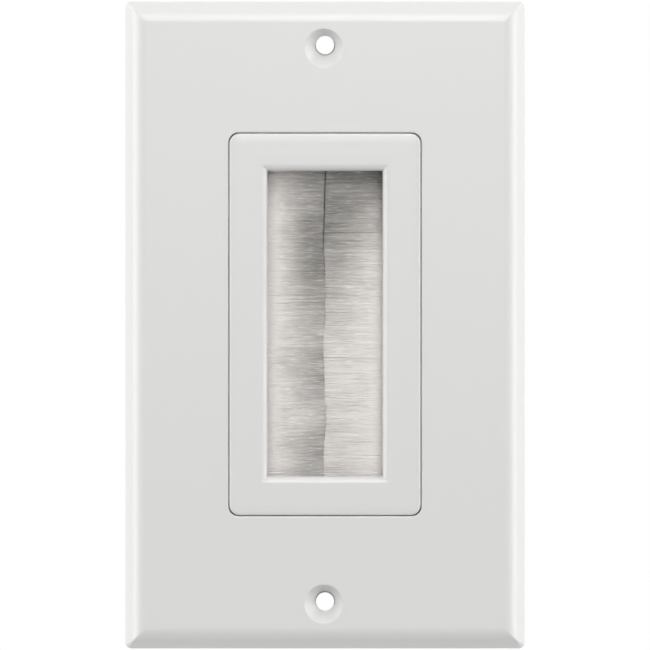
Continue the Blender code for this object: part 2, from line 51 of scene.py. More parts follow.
insert_front = insert_low.y
insert_back = insert_high.y
insert_rise = (insert_low.z + insert_high.z) / 2
insert_half_width = 16.67 * mm
insert_half_height = 33.27 * mm
insert_drop = 0.14 * mm  # how far the insert's outline sits below the window's middle
insert_corner = 1.8 * mm
insert_edge_round = 0.4 * mm
insert_crown_width = 1.3 * mm
insert_crown_drop = 0.07 * mm
insert_side_wall = 1.8 * mm
insert_inside = insert_front + 2.4 * mm
least_corner = 0.3 * mm
swell_line = 3.7 * mm  # in from the insert's edge, where the face swells a little
swell_height = 0.012 * mm
swell_step = 0.3 * mm
flange_reach = 1.8 * mm
flange_share = 0.96  # the flange's thickness, as a share of the ears'
flange_sink = 0.02 * mm  # how far the flange's back lies inside the ears'
window_half_width = insert_half_width - 6.62 * mm
window_half_height = insert_half_height - 6.62 * mm
window_lip = 1.2 * mm
window_corner = 0.12 * mm
lip_corner_share = 0.1  # how much of the lip's width its corners gain in radius
window_wall = 1.3 * mm
brush_rest = insert_front + 5.5 * mm  # where the channels rest
rest_in = 3.3 * mm  # in from the insert's edge
rest_width = 1.2 * mm
rest_length = 54.9 * mm
ear_half_width = 15.0 * mm
ear_tip = (insert_high.z - insert_low.z) / 2
ear_corner = 3.0 * mm
ear_thickness = 1.6 * mm
ear_hole_place = 48.59 * mm
ear_hole_rise = 0.05 * mm  # how far both holes sit above their place
ear_hole_radius = 1.6 * mm
slot_place = 41.65 * mm
slot_half_length = 3.3 * mm
slot_half_width = 1.95 * mm
slot_roundness = 0.98  # the radius of its ends, as a share of the half width
post_x = 12.475 * mm
post_z = 30.65 * mm
post_radius = 2.1 * mm
post_root = 1.2 * mm  # how far a post starts inside the front wall
screw_hole_radius = 1.2 * mm
screw_hole_floor = 1.3 * mm
gusset_x = 10.0 * mm
gusset_half_thickness = 0.6 * mm
gusset_reach = 1.3 * mm
gusset_root = -0.8 * mm  # half way into the ears
fine_edge = 0.15 * mm  # how far a moulded edge is rounded
hole_flare = 0.3 * mm
past = 1.0 * mm  # how far a cutter runs past what it cuts


def sweep(bm, rows, around=False):
    """Draws a rounded outline facing the room, and extrudes it from row to row. A row is half the width,
    half the height, the corner radius, y and the middle's z. It is capped, or closes like a frame."""
    half_width, half_height, radius, y, middle = rows[0]
    corners = [
        bm.verts.new((half_width * i, y, middle + half_height * k))
        for i, k in ((1, 1), (-1, 1), (-1, -1), (1, -1))
    ]
    bm.faces.new(corners)
    rounded = bmesh.ops.bevel(
        bm,
        geom=corners,
        offset=radius,
        offset_type="OFFSET",
        segments=8,
        profile=0.5,
        affect="VERTICES",
        material=-1,
    )
    face = rounded["verts"][0].link_faces[0]
    edges = list(face.edges)
    if around:
        bmesh.ops.delete(bm, geom=[face], context="FACES_ONLY")
    for old, new in zip(rows, rows[1:]):
        made = bmesh.ops.extrude_edge_only(bm, edges=edges)["geom"]
        edges = [item for item in made if isinstance(item, bmesh.types.BMEdge) and item.is_boundary]
        for vert in {vert for edge in edges for vert in edge.verts}:
            i = math.copysign(1, vert.co.x)
            k = math.copysign(1, vert.co.z - old[4])
            arc = Vector((vert.co.x - i * (old[0] - old[2]), vert.co.z - old[4] - k * (old[1] - old[2])))
            arc *= new[2] / old[2]
            vert.co = (i * (new[0] - new[2]) + arc.x, new[3], new[4] + k * (new[1] - new[2]) + arc.y)
    if around:
        bmesh.ops.remove_doubles(bm, verts=bm.verts, dist=0.002 * mm)
    else:
        bmesh.ops.contextual_create(bm, geom=edges)


def turn(bm, rows, x=0.0, z=insert_rise, sides=48):
    """A closed round shape facing the room. A row is its radius and y."""
    radius, y = rows[0]
    place = Matrix.Translation((x, y, z)) @ Matrix.Rotation(math.pi / 2, 4, "X")
    disc = bmesh.ops.create_circle(bm, cap_ends=True, segments=sides, radius=radius, matrix=place)
    edges = list(dict.fromkeys(edge for vert in disc["verts"] for edge in vert.link_edges))
    for (old_radius, old_y), (radius, y) in zip(rows, rows[1:]):
        made = bmesh.ops.extrude_edge_only(bm, edges=edges)["geom"]
        edges = [item for item in made if isinstance(item, bmesh.types.BMEdge) and item.is_boundary]
        verts = list({vert for edge in edges for vert in edge.verts})
        wide = radius / old_radius
        middle = Matrix.Translation((-x, -old_y, -z))
        bmesh.ops.scale(bm, verts=verts, vec=(wide, 1.0, wide), space=middle)
        bmesh.ops.translate(bm, verts=verts, vec=(0.0, y - old_y, 0.0))
    bmesh.ops.contextual_create(bm, geom=edges)


def quarter_round(radius, steps=6):
    """Steps round a convex edge, from its side to its front: how far in, and how far behind the front."""
    angles = [math.pi / 2 * step / steps for step in range(steps + 1)]
    return [(radius * (1 - math.cos(angle)), radius * (1 - math.sin(angle))) for angle in angles]


def add_block(bm, middle, size):
    """A closed box, for ribs, rests and pads."""
    place = Matrix.Translation(middle) @ Matrix.Diagonal((*size, 1.0))
    bmesh.ops.create_cube(bm, size=1.0, matrix=place)


def as_object(name, bm):
    """Turns a shape into an object of the scene, with its faces outwards."""
    bmesh.ops.recalc_face_normals(bm, faces=bm.faces)
    mesh = bpy.data.meshes.new(name)
    bm.to_mesh(mesh)
    bm.free()
    item = bpy.data.objects.new(name, mesh)
    bpy.context.scene.collection.objects.link(item)
    return item


def combine(item, tool_bm, operation):
    """Joins or cuts a closed shape, and keeps only the result."""
    tool = as_object("tool", tool_bm)
    change = item.modifiers.new("combine", "BOOLEAN")
    change.operation = operation
    change.solver = "EXACT"
    change.object = tool
    ready = item.evaluated_get(bpy.context.evaluated_depsgraph_get())
    result = bpy.data.meshes.new_from_object(ready)
    item.modifiers.clear()
    item.data = result
    result.name = item.name
    bpy.data.objects.remove(tool)


def finish_piece(item, material, node, sharp=32):
    """Shades a piece, dresses it and lets it stand for its node."""
    item.data.materials.clear()
    item.data.materials.append(material)
    item.data.shade_smooth()
    item.data.set_sharp_from_angle(angle=math.radians(sharp))
    even = item.modifiers.new("even shading", "WEIGHTED_NORMAL")
    even.keep_sharp = True
    even.weight = 80
    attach(item, "root")
    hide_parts(node)


def colour(code):
    """An sRGB hex colour as the linear values that a shader takes."""
    values = [int(code[i : i + 2], 16) / 255 for i in (1, 3, 5)]
    return (*[v / 12.92 if v <= 0.04045 else ((v + 0.055) / 1.055) ** 2.4 for v in values], 1.0)


def add_node(material, kind, settings=None, **links):
    """Adds one shader node, with its settings, values and the sockets that feed it."""
    node = material.node_tree.nodes.new(kind)
    for key, value in (settings or {}).items():
        setattr(node, key, value)
    for key, value in links.items():
        socket = node.inputs[int(key[1:]) if key[1:].isdigit() else key.replace("_", " ")]
        if isinstance(value, bpy.types.NodeSocket):
            material.node_tree.links.new(value, socket)
        else:
            socket.default_value = value
    return node


def new_material(name, base, roughness, metallic=0.0, ior=1.5):
    """A material with its base values, and its shader, for a function below to build on."""
    material = bpy.data.materials.new(name)
    material.use_nodes = True
    shader = material.node_tree.nodes["Principled BSDF"]
    shader.inputs["Base Color"].default_value = colour(base)
    shader.inputs["Roughness"].default_value = roughness
    shader.inputs["Metallic"].default_value = metallic
    if metallic == 0.0:
        shader.inputs["IOR"].default_value = ior
    return material, shader


def moulded_abs(name, base, fleck, roughness, ripple):
    """Injection-moulded ABS. The eye reads an even white with a soft gloss, which ripples a very little
    where the plastic flowed, and a few faint dust flecks under the skin."""
    flow_size = 16.0 * mm
    grain_size = 0.4 * mm  # the mould's real grain is 0.05 mm, which is too fine to show
    fleck_spacing = 4.0 * mm
    fleck_core = 0.02  # both in spacings, from a fleck's middle
    fleck_rim = 0.07
    patch_size = 7.0 * mm  # only some patches have flecks
    patch_rim = 0.60  # the noise's value where a patch begins
    patch_core = 0.66
    flow_depth = 0.05 * mm
    grain_depth = 0.002 * mm
    material, shader = new_material(name, base, roughness, ior=1.53)
    place = add_node(material, "ShaderNodeTexCoord").outputs["Object"]
    flow = add_node(material, "ShaderNodeTexNoise", Vector=place, Scale=1 / flow_size, Detail=2.0)
    grain = add_node(material, "ShaderNodeTexNoise", Vector=place, Scale=1 / grain_size, Detail=2.0)
    specks = add_node(material, "ShaderNodeTexVoronoi", Vector=place, Scale=1 / fleck_spacing)
    near = add_node(
        material,
        "ShaderNodeMapRange",
        _0=specks.outputs["Distance"],
        _1=fleck_core,
        _2=fleck_rim,
        _3=1.0,
        _4=0.0,
    )
    cloud = add_node(material, "ShaderNodeTexNoise", Vector=place, Scale=1 / patch_size, Detail=1.0)
    some = add_node(
        material, "ShaderNodeMapRange", _0=cloud.outputs["Fac"], _1=patch_rim, _2=patch_core
    )
    share = add_node(
        material, "ShaderNodeMath", {"operation": "MULTIPLY"}, _0=near.outputs[0], _1=some.outputs[0]
    )
    tint = add_node(
        material,
        "ShaderNodeMix",
        {"data_type": "RGBA"},
        _0=share.outputs[0],
        _6=colour(base),
        _7=colour(fleck),
    )
    material.node_tree.links.new(tint.outputs[2], shader.inputs["Base Color"])
    low = add_node(
        material, "ShaderNodeBump", Height=flow.outputs["Fac"], Strength=ripple, Distance=flow_depth
    )
    fine = add_node(
        material,
        "ShaderNodeBump",
        Height=grain.outputs["Fac"],
        Strength=ripple,
        Distance=grain_depth,
        Normal=low.outputs["Normal"],
    )
    material.node_tree.links.new(fine.outputs["Normal"], shader.inputs["Normal"])
    return material


def insert_row(inset, y, radius):
    """A row of the insert's outline, this far in from its edge."""
    middle = insert_rise - insert_drop
    return (insert_half_width - inset, insert_half_height - inset, radius, y, middle)


def window_row(grow, y, radius):
    """A row of the window's outline, this far out from its edge."""
    return (window_half_width + grow, window_half_height + grow, radius, y, insert_rise)


section = [
    insert_row(fine_edge, insert_back, insert_corner - fine_edge),
    insert_row(0.0, insert_back - fine_edge, insert_corner),
]
for inset, behind in quarter_round(insert_edge_round):
    y = insert_front + insert_crown_drop + behind
    section.append(insert_row(inset, y, insert_corner - inset))
for step in range(1, 7):
    share = step / 6
    inset = insert_edge_round + insert_crown_width * share
    y = insert_front + insert_crown_drop * (1 - share) ** 2
    section.append(insert_row(inset, y, max(insert_corner - inset, least_corner)))
for step in range(-3, 4):
    swell = swell_height * math.cos(math.pi / 2 * step / 3) ** 2
    section.append(insert_row(swell_line + step * swell_step, insert_front - swell, least_corner))
for grow, behind in reversed(quarter_round(window_lip, 10)):
    section.append(window_row(grow, insert_front + behind, window_corner + grow * lip_corner_share))
section += [
    window_row(0.0, brush_rest - fine_edge, window_corner),
    window_row(fine_edge, brush_rest, window_corner + fine_edge),
    window_row(window_wall, brush_rest, window_wall),
    window_row(window_wall, insert_inside, window_wall),
    insert_row(insert_side_wall, insert_inside, insert_corner / 2),
    insert_row(insert_side_wall, insert_back, insert_corner / 2),
    section[0],
]
insert_bm = bmesh.new()
sweep(insert_bm, section, around=True)
brush_insert = as_object("moulded_insert", insert_bm)

strap_edge = (  # the ears' and the flange's edge: how far in, and y
    (fine_edge, -ear_thickness),
    (0.0, fine_edge - ear_thickness),
    (0.0, -fine_edge),
    (fine_edge, 0.0),
)
flange_bm = bmesh.new()
flange = []
for inset, y in strap_edge:
    sunk = flange_share * y - flange_sink
    flange.append(insert_row(inset - flange_reach, sunk, insert_corner + flange_reach - inset))
hollow = [insert_row(insert_side_wall / 3, row[3], insert_corner / 2) for row in (flange[3], flange[0])]
sweep(flange_bm, flange + hollow + flange[:1], around=True)
combine(brush_insert, flange_bm, "UNION")

ears = bmesh.new()
ear_root = insert_half_height - insert_side_wall / 2
for end in (-1, 1):
    half = (ear_tip - ear_root) / 2
    middle = insert_rise + end * (ear_tip - half)
    ear = [
        (ear_half_width - inset, half - inset, ear_corner - inset, y, middle) for inset, y in strap_edge
    ]
    sweep(ears, ear)
combine(brush_insert, ears, "UNION")

posts = bmesh.new()
for i in (-1, 1):
    for k in (-1, 1):
        post = [
            (post_radius, insert_inside - post_root),
            (post_radius, insert_back - fine_edge),
            (post_radius - fine_edge, insert_back),
        ]
        turn(posts, post, i * post_x, insert_rise + k * post_z)
combine(brush_insert, posts, "UNION")

gussets = bmesh.new()
for end in (-1, 1):
    for x in (-gusset_x, gusset_x):
        root = insert_rise + end * ear_root
        tip = insert_rise + end * (insert_half_height + gusset_reach)
        corners = ((root, gusset_root), (tip, gusset_root), (tip, 0.0), (root, insert_back))
        side = [gussets.verts.new((x - gusset_half_thickness, y, z)) for z, y in corners]
        face = gussets.faces.new(side)
        other = bmesh.ops.extrude_face_region(gussets, geom=[face], use_keep_orig=True)["geom"]
        moved = [item for item in other if isinstance(item, bmesh.types.BMVert)]
        bmesh.ops.translate(gussets, verts=moved, vec=(2 * gusset_half_thickness, 0, 0))
combine(brush_insert, gussets, "UNION")

rests = bmesh.new()
rest_x = insert_half_width - rest_in
for i in (-1, 1):
    middle = (i * rest_x, (brush_rest + insert_inside - past) / 2, insert_rise)
    add_block(rests, middle, (rest_width, brush_rest - insert_inside + past, rest_length))
combine(brush_insert, rests, "UNION")

holes = bmesh.new()
for end in (-1, 1):
    hole = [
        (ear_hole_radius + hole_flare, -ear_thickness - past),
        (ear_hole_radius + fine_edge, -ear_thickness),
        (ear_hole_radius, fine_edge - ear_thickness),
        (ear_hole_radius, past),
    ]
    turn(holes, hole, z=insert_rise + ear_hole_rise + end * ear_hole_place)
    slot = (slot_half_length, slot_half_width, slot_half_width * slot_roundness)
    sweep(holes, [(*slot, y, insert_rise + end * slot_place) for y in (-ear_thickness - past, past)])
for i in (-1, 1):
    for k in (-1, 1):
        hole = [(screw_hole_radius, screw_hole_floor), (screw_hole_radius, insert_back + past)]
        turn(holes, hole, i * post_x, insert_rise + k * post_z)
combine(brush_insert, holes, "DIFFERENCE")
satin_abs = moulded_abs("satin_white_abs", "#DCDCDB", "#D8D7D4", 0.30, 0.10)
finish_piece(brush_insert, satin_abs, "brush_insert")

# Brush channels: two strips of thin sheet folded to a U, which pinch the filaments and the wire.
# Galvanised steel, roll formed. They slide into the insert from behind and rest on its inner walls.


def rolled_zinc(name, base, dark, roughness):
    """Hot-dip galvanised sheet. The eye reads a soft grey metal, clouded by its zinc crystals, with faint
    lines along the strip from the rollers."""
    crystal_size = 1.4 * mm
    line_width = 0.11 * mm  # the rollers' real lines are 0.02 mm wide, which is too fine to show
    line_depth = 0.01 * mm
    line_squeeze = 0.02  # along the strip, which draws the noise out into lines
    material, shader = new_material(name, base, roughness, metallic=1.0)
    place = add_node(material, "ShaderNodeTexCoord").outputs["Object"]
    long = add_node(material, "ShaderNodeMapping", Vector=place, Scale=(1.0, 1.0, line_squeeze))
    crystals = add_node(material, "ShaderNodeTexVoronoi", Vector=place, Scale=1 / crystal_size)
    rolled = add_node(
        material, "ShaderNodeTexNoise", Vector=long.outputs[0], Scale=1 / line_width, Detail=3.0
    )
    tint = add_node(
        material,
        "ShaderNodeMix",
        {"data_type": "RGBA"},
        _0=crystals.outputs["Color"],
        _6=colour(base),
        _7=colour(dark),
    )
    material.node_tree.links.new(tint.outputs[2], shader.inputs["Base Color"])
    worn = add_node(
        material,
        "ShaderNodeMapRange",
        _0=rolled.outputs["Fac"],
        _3=roughness - 0.08,
        _4=roughness + 0.12,
    )
    material.node_tree.links.new(worn.outputs[0], shader.inputs["Roughness"])
    lines = add_node(
        material, "ShaderNodeBump", Height=rolled.outputs["Fac"], Strength=0.3, Distance=line_depth
    )
    material.node_tree.links.new(lines.outputs["Normal"], shader.inputs["Normal"])
    return material


galvanised = rolled_zinc("galvanised_sheet", "#B9BCBF", "#9DA1A5", 0.38)
for name in ("left_brush_channel", "right_brush_channel"):
    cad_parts[name].data.materials.clear()
    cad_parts[name].data.materials.append(galvanised)

# Core wires: the straight wires that each brush's filaments are folded over, inside the channels.
# Drawn steel, cut to the channels' length. The crimped channel holds them.


def drawn_steel(name, base, roughness):
    """Drawn steel, bare or zinc plated. The eye reads a bright grey with fine lines along its length."""
    line_width = 0.06 * mm  # the die's real lines are finer than the picture shows
    line_squeeze = 0.01  # along the wire, which draws the noise out into lines
    material, shader = new_material(name, base, roughness, metallic=1.0)
    place = add_node(material, "ShaderNodeTexCoord").outputs["Object"]
    long = add_node(material, "ShaderNodeMapping", Vector=place, Scale=(1.0, 1.0, line_squeeze))
    lines = add_node(
        material, "ShaderNodeTexNoise", Vector=long.outputs[0], Scale=1 / line_width, Detail=2.0
    )
    worn = add_node(
        material,
        "ShaderNodeMapRange",
        _0=lines.outputs["Fac"],
        _3=roughness - 0.08,
        _4=roughness + 0.1,
    )
    material.node_tree.links.new(worn.outputs[0], shader.inputs["Roughness"])
    return material


bright_steel = drawn_steel("drawn_steel_wire", "#AFAFAE", 0.32)
for name in ("left_core_wire", "right_core_wire"):
    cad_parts[name].data.materials.clear()
    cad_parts[name].data.materials.append(bright_steel)

# Bristles: two banks of straight filaments, doubled over the wires, which meet at the window's middle.
# Clear drawn nylon. They are cut to one length, so their tips make a seam that wanders a little. How
# they lean, and the painted shade in their colour where the window's lips shade them, is judged from the
# photograph.
bristle_low, bristle_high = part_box("left_bristles")
bristle_middle = (bristle_low.y + bristle_high.y) / 2
bank_half_height = 27.4 * mm
filament_radius = 0.095 * mm
filament_pitch = 0.130 * mm
folds = 4  # filaments laid over each other round the wire
channel_mouth = 10.55 * mm
wire_place = 12.6 * mm
fold_radius = 0.90 * mm
fold_growth = 0.5 * mm  # from the innermost folds to the outermost
root_half_depth = 0.57 * mm
bank_half_depth = 1.21 * mm
layer_step = 0.13  # how much nearer the bank's middle each fold lies, as a share of its depth
layer_spread = 0.2  # the spreads say how unevenly the filaments lie
row_spread = 0.2
slope_spread = 0.0020
tip_spread = 0.10 * mm
tip_overlap = 0.07 * mm  # how far each bank's tips reach past the seam
depth_spread = 0.035 * mm
height_spread = 0.012 * mm
splay_share = 0.15  # of a filament's length, in which it spreads from the channel to the bank's depth
wave_height = 0.06 * mm
wave_length = 2.7 * mm
groove_depth = 0.04 * mm  # how far the front tips stand back from the seam
groove_growth = 0.16 * mm  # and how much further in the bank's upper part
groove_start = 0.35  # as a share of the bank's half height
groove_run = 0.3
groove_layer = 0.3  # the share of the depth from which the tips stand back
seam_offset = -0.1 * mm
seam_wander = 0.22 * mm
seam_length = 21.0 * mm
left_shade_patches = ((-0.30, 0.28, 0.17), (-0.79, 0.34, 0.12))  # height, depth and reach of each patch of painted shade
patch_length = 6.0 * mm
patch_height = 2.2 * mm
channel_shade = 1.5 * mm


def seam_at(z):
    """Where the two banks' tips meet."""
    phase = 2 * math.pi * z / seam_length
    return seam_offset + seam_wander * (0.7 * math.sin(phase) + 0.3 * math.sin(2.3 * phase + 1.0))


def bank_slope(side, z):
    """How much the filaments rise towards the seam, which changes slowly down a bank."""
    share = z / bank_half_height
    if side < 0:
        return 0.015 - 0.050 * share + 0.010 * math.sin(7 * share)
    return 0.005 + 0.020 * math.sin(2.6 * share + 2.2) + 0.008 * math.sin(6 * share + 1)


def hump(value, middle, width):
    """A smooth hill, 1 at its middle and near 0 at twice its width away."""
    return math.exp(-(((value - middle) / width) ** 2))


def ramp(value, start, run):
    """0 up to the start, rising evenly to 1 at the run's end."""
    return min(max((value - start) / run, 0.0), 1.0)


def painted_shade_at(side, x, z):
    """Painted shade on a bank, from 0 to 1, as it falls from the window's lips: darkest near the seam and
    in the upper part, eased just under the top edge, on the left also in two patches further down, and on
    the right darker towards the top corner. Beside the channels it is painted lighter, against the side
    walls' shade. Heights run from -1 at a bank's foot to 1 at its top."""
    height = z / bank_half_height
    away = abs(x - seam_at(z))
    patch = 0.2 * noise.noise(Vector((x / patch_length, side * 3.0, z / patch_height)))
    painted_edge_light = 0.4 * hump(abs(x), window_half_width, channel_shade)  # painted light beside the channel, against the side walls' shade
    if side < 0:
        reach = 6.0 * mm
        upper = ramp(height, -0.1, 0.5)
        # painted shade grows up the bank, and is eased just under the top edge
        most = 0.34 + 0.62 * upper - 0.35 * hump(height, 0.95, 0.25)
        for middle, depth, spread in left_shade_patches:
            most += depth * hump(height, middle, spread)
        return most * math.exp(-((away / reach) ** (2 + upper))) + patch - painted_edge_light
    upper = max(height, 0.0) ** 1.4
    reach = (4.6 + 7.5 * upper) * mm
    corner_reach = 9.0 * mm
    most = min(0.28 * ramp(height, -0.1, 0.2) + 1.3 * upper, 0.95)
    # painted shade eased just under the top edge
    most -= 0.34 * hump(height, 1.05, 0.28)
    # painted shadow in the top right corner, darker towards the right edge
    corner = 0.5 * hump(height, 1.05, 0.35) * away / corner_reach
    painted_edge_light *= 1.0 - min(2.5 * upper, 1.0)
    return most * hump(away, 0.0, reach) + corner + patch - painted_edge_light


def nylon_filament(name, clear, deep_and_shade, roughness):
    """Drawn nylon monofilament. The eye reads pale, slightly clear threads, each a little lighter or
    greyer than the next. Their colour also carries each point's painted shade, and short painted
    highlights where they would catch the light."""
    streak_width = 0.3 * mm  # a streak of two or three threads that lie together
    painted_glint_width = 0.2 * mm  # a painted highlight: a short dash where one thread turns to the light
    streak_squeeze = 0.12  # along the threads, which draws both out
    streak_share = 0.40  # how far a streak deepens the colour
    painted_glint_share = 0.32  # and how far a painted highlight clears it
    painted_glint_rim = 0.60  # the noise's value where a painted highlight begins
    painted_glint_core = 0.80
    material, shader = new_material(name, clear, roughness, ior=1.53)
    tone_and_shade = add_node(material, "ShaderNodeAttribute", {"attribute_name": "thread"})
    place = add_node(material, "ShaderNodeTexCoord").outputs["Object"]
    along = add_node(material, "ShaderNodeMapping", Vector=place, Scale=(streak_squeeze, 1.0, 1.0))
    cloud = add_node(
        material, "ShaderNodeTexNoise", Vector=along.outputs[0], Scale=1 / streak_width, Detail=1.0
    )
    both = add_node(
        material,
        "ShaderNodeMath",
        {"operation": "MULTIPLY_ADD"},
        _0=cloud.outputs["Fac"],
        _1=streak_share,
        _2=tone_and_shade.outputs["Fac"],
    )
    dashes = add_node(
        material, "ShaderNodeTexNoise", Vector=along.outputs[0], Scale=1 / painted_glint_width, Detail=0.0
    )
    painted_glint = add_node(
        material,
        "ShaderNodeMapRange",
        _0=dashes.outputs["Fac"],
        _1=painted_glint_rim,
        _2=painted_glint_core,
        _3=0.0,
        _4=painted_glint_share,
    )
    shade = add_node(
        material, "ShaderNodeMath", {"operation": "SUBTRACT"}, _0=both.outputs[0], _1=painted_glint.outputs[0]
    )
    # the deep colour serves both the random streaks and the painted shade
    tint = add_node(
        material,
        "ShaderNodeMix",
        {"data_type": "RGBA"},
        _0=shade.outputs[0],
        _6=colour(clear),
        _7=colour(deep_and_shade),
    )
    material.node_tree.links.new(tint.outputs[2], shader.inputs["Base Color"])
    return material


nylon = nylon_filament("clear_nylon", "#FFFBF8", "#96938E", 0.32)
chance = random.Random(7)
grey_middle = -0.08
grey_spread = 0.05
painted_shade_strength = 0.85  # how far the painted shade deepens a bank's colour
front_shares = (1.0, 0.86, 0.72, 0.58, 0.44, 0.30, splay_share, 0.0)  # where a filament may bend
back_shares = (1.0, 0.6, splay_share, 0.0)


def half_thread(side, layer, shares, outward, z):
    """One half of a filament, from its tip at the seam to the channel's mouth."""
    groove = groove_depth + groove_growth * ramp(z / bank_half_height, groove_start, groove_run)
    groove *= max(0.0, -layer * outward - groove_layer)
    tip = seam_at(z) + side * (groove - tip_overlap + abs(chance.gauss(0, tip_spread)))
    slope = bank_slope(side, z) + chance.gauss(0, slope_spread)
    wave = wave_height * math.sin(z / wave_length + side)
    points = []
    for share in shares:
        splay = min(share / splay_share, 1.0)
        splay = splay * splay * (3 - 2 * splay)
        reach = root_half_depth + (bank_half_depth - root_half_depth) * splay
        stray = chance.gauss(0, depth_spread) * splay
        x = side * channel_mouth + (tip - side * channel_mouth) * share
        y = bristle_middle + layer * outward * reach + wave * splay * share + stray
        rise = slope * abs(x - side * channel_mouth) + chance.gauss(0, height_spread) * splay
        level = max(-bank_half_height, min(bank_half_height, z + rise))
        points.append((x, y, insert_rise + level))
    return points


for name, side in (("left", -1), ("right", 1)):
    threads = bpy.data.curves.new(name, "CURVE")
    threads.dimensions = "3D"
    threads.bevel_depth = filament_radius
    threads.bevel_resolution = 0
    threads.use_fill_caps = True
    rows = int(2 * bank_half_height / filament_pitch)
    greys = []
    for fold in range(folds):
        for row in range(rows):
            outward = 1.0 - layer_step * (fold + chance.uniform(-layer_spread, layer_spread))
            offset = chance.uniform(0.5 - row_spread, 0.5 + row_spread)
            z = bank_half_height * (2 * (row + offset) / rows - 1)
            front = half_thread(side, -1, front_shares, outward, z)
            back = half_thread(side, 1, back_shares, outward, z)
            radius = fold_radius + (outward - 0.5) * fold_growth
            bend = [
                (side * (wire_place + radius * i), bristle_middle + radius * k, insert_rise + z)
                for i, k in ((-0.45, -0.89), (1.0, 0.0), (-0.45, 0.89))  # round the wire's far side
            ]
            route = front + bend + back[::-1]
            greys.append(chance.gauss(grey_middle, grey_spread))
            spline = threads.splines.new("POLY")
            spline.points.add(len(route) - 1)
            for point, spot in zip(spline.points, route):
                point.co = (*spot, 1.0)
    carrier = bpy.data.objects.new(name, threads)
    bpy.context.scene.collection.objects.link(carrier)
    ready = carrier.evaluated_get(bpy.context.evaluated_depsgraph_get())
    mesh = bpy.data.meshes.new_from_object(ready)
    bpy.data.objects.remove(carrier)
    bristles = bpy.data.objects.new(name + "_filaments", mesh)
    bpy.context.scene.collection.objects.link(bristles)
    each = len(mesh.vertices) // len(greys)
    # each point's tone: its thread's random grey plus the painted shade
    shades = [
        greys[vert.index // each] + painted_shade_strength * painted_shade_at(side, vert.co.x, vert.co.z - insert_rise)
        for vert in mesh.vertices
    ]
    tone_and_shade = mesh.attributes.new("thread", "FLOAT", "POINT")
    tone_and_shade.data.foreach_set("value", shades)
    mesh.materials.clear()
    mesh.materials.append(nylon)
    mesh.shade_smooth()
    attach(bristles, "root")
    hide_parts(name + "_bristles")

# Retaining frame: the flat frame that closes the insert's back and keeps the brushes in.
# Moulded ABS with a fine texture, left plain because it is out of sight. Four screws hold it.
retainer_low, retainer_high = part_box("rear_retainer")
retainer_back = retainer_high.y
retainer_thickness = 2.0 * mm
retainer_front = retainer_back - retainer_thickness
retainer_edge = 0.4 * mm
retainer_window_gap = 0.3 * mm
pad_inner = 10.85 * mm
pad_outer = 14.1 * mm
pad_half_height = 28.25 * mm

section = [
    insert_row(fine_edge, retainer_front, insert_corner - fine_edge),
    insert_row(0.0, retainer_front + fine_edge, insert_corner),
]
for inset, behind in quarter_round(retainer_edge):
    section.append(insert_row(inset, retainer_back - behind, insert_corner - inset))
for grow, behind in reversed(quarter_round(retainer_edge)):
    y = retainer_back - behind
    section.append(window_row(retainer_window_gap + grow, y, insert_corner + grow))
section += [
    window_row(retainer_window_gap, retainer_front + fine_edge, insert_corner),
    window_row(retainer_window_gap + fine_edge, retainer_front, insert_corner + fine_edge),
    section[0],
]
retainer_bm = bmesh.new()
sweep(retainer_bm, section, around=True)
retainer = as_object("moulded_retainer", retainer_bm)

pads = bmesh.new()
for i in (-1, 1):
    size = (pad_outer - pad_inner, retainer_front + past - retainer_low.y, 2 * pad_half_height)
    middle = (i * (pad_outer + pad_inner) / 2, (retainer_front + past + retainer_low.y) / 2, insert_rise)
    add_block(pads, middle, size)
combine(retainer, pads, "UNION")

holes = bmesh.new()
for i in (-1, 1):
    for k in (-1, 1):
        hole = [
            (screw_hole_radius, retainer_low.y - past),
            (screw_hole_radius, retainer_back - fine_edge),
            (screw_hole_radius + fine_edge, retainer_back),
            (screw_hole_radius + fine_edge + past, retainer_back + past),
        ]
        turn(holes, hole, i * post_x, insert_rise + k * post_z)
combine(retainer, holes, "DIFFERENCE")
inner_abs = moulded_abs("inner_abs", "#D6D5D2", "#C4C1BC", 0.45, 0.6)
finish_piece(retainer, inner_abs, "rear_retainer")

# Retaining screws: four small pan-head screws in the insert's corner posts.
# Steel, cold headed with a cross recess and zinc plated. They are driven from behind.
seat_gap = 0.3 * mm
head_seat = retainer_back + seat_gap
head_height = 1.4 * mm
head_radius = 1.8 * mm
head_edge = 0.55 * mm
head_rim = 0.06 * mm
head_crown = 0.05 * mm
head_flat = 0.5 * mm
shank_radius = 0.9 * mm
shank_tip = head_seat - 4.5 * mm
point_length = 0.8 * mm
point_step = 0.2 * mm
point_shares = (0.3, 0.95)  # the point's width where it starts and ends, as a share of the shank's
recess_reach = 1.0 * mm
recess_half_width = 0.22 * mm
recess_depth = 0.6 * mm
recess_corner = 0.02 * mm
recess_above = 0.4 * mm  # how far the cutter stands above the head
recess_flare = 1.35
recess_taper = 0.6

